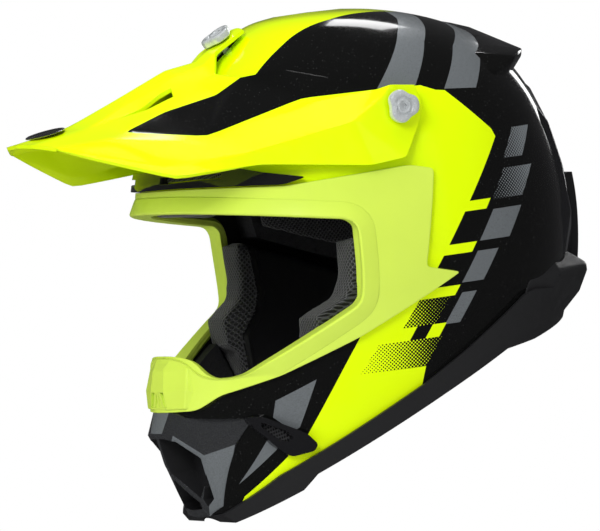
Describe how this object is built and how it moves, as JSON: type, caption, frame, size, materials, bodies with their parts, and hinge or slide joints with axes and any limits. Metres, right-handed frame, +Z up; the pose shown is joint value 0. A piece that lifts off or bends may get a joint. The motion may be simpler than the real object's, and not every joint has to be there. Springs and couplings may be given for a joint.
{
  "type": "motocross helmet",
  "caption": "Full-face off-road helmet: lime and black shell, adjustable peak on thumbscrews, wide eye port, vented chin bar, foam and knit lining, D-ring chin strap.",
  "frame": {"origin": "centre of the wearer's head, where the head seats in the crown liner and cheek pads", "axes": "+Z up in the worn attitude, -Y the way the face looks, +X the wearer's left"},
  "size_m": [0.2516, 0.3579, 0.3045],
  "materials": {
    "shell_paint": "glossy fluorescent lacquer over moulded thermoplastic",
    "peak_plastic": "semi-gloss moulded nylon",
    "frame_plastic": "satin pale lime moulding",
    "black_gloss": "gloss black moulding",
    "gunmetal": "fine metallic paint",
    "vent_black": "matte black moulding",
    "mesh": "perforated metal gauze",
    "rubber_trim": "satin moulded rubber",
    "foam": "expanded polystyrene foam, black",
    "knit": "open knit over soft foam",
    "webbing": "woven nylon webbing",
    "steel": "plated steel",
    "screw_silver": "bright anodised aluminium"
  },
  "bodies": {
    "helmet": {"brow_intake": "black_gloss", "brow_liner": "knit", "brow_mesh_left": "mesh", "brow_mesh_right": "mesh", "cheek_pad_left": "knit", "cheek_pad_right": "knit", "chin_mesh_left": "mesh", "chin_mesh_right": "mesh", "chin_vent_left": "black_gloss", "chin_vent_right": "black_gloss", "crown_liner": "knit", "eyeport_frame": "frame_plastic", "foam_chin": "foam", "foam_crown": "foam", "mouth_grille": "vent_black", "mouth_vent": "gunmetal", "neck_roll": "knit", "neck_trim": "rubber_trim", "outer_shell": "shell_paint", "rear_exhaust": "vent_black", "rear_spoiler": "black_gloss", "rear_vent_left": "gunmetal", "rear_vent_right": "gunmetal", "screw_insert_left": "steel", "screw_insert_right": "steel", "strap_anchor_left": "steel", "strap_anchor_right": "steel", "strap_left": "webbing", "strap_loop": "webbing", "strap_pad_left": "knit", "strap_pad_right": "knit", "strap_right": "webbing"},
    "peak_body": {"peak": "peak_plastic", "peak_badge": "black_gloss"},
    "screw_top_body": {"screw_top": "screw_silver"},
    "screw_left_body": {"screw_left": "screw_silver"},
    "screw_right_body": {"screw_right": "screw_silver"},
    "ring_inner_body": {"d_ring_inner": "steel"},
    "ring_outer_body": {"d_ring_outer": "steel"}
  },
  "joints": [
    {"name": "peak_tilt", "type": "hinge", "parent": "helmet", "child": "peak_body", "pos_m": [0, -0.0176, 0.0801], "axis": [-1, 0, 0], "range_deg": [0, 6]},
    {"name": "screw_top_turn", "type": "hinge", "parent": "peak_body", "child": "screw_top_body", "pos_m": [0, -0.07953, 0.1336], "axis": [0, -0.4775, 0.8786], "continuous": true},
    {"name": "screw_left_turn", "type": "hinge", "parent": "helmet", "child": "screw_left_body", "pos_m": [0.1204, -0.0176, 0.0801], "axis": [1, 0, 0], "continuous": true},
    {"name": "screw_right_turn", "type": "hinge", "parent": "helmet", "child": "screw_right_body", "pos_m": [-0.1204, -0.0176, 0.0801], "axis": [-1, 0, 0], "continuous": true},
    {"name": "ring_inner_swing", "type": "hinge", "parent": "helmet", "child": "ring_inner_body", "pos_m": [0.008, -0.02, -0.099], "axis": [0, 1, 0], "range_deg": [-6, 6]},
    {"name": "ring_outer_swing", "type": "hinge", "parent": "helmet", "child": "ring_outer_body", "pos_m": [0.015, -0.02, -0.099], "axis": [0, 1, 0], "range_deg": [-6, 6]}
  ]
}
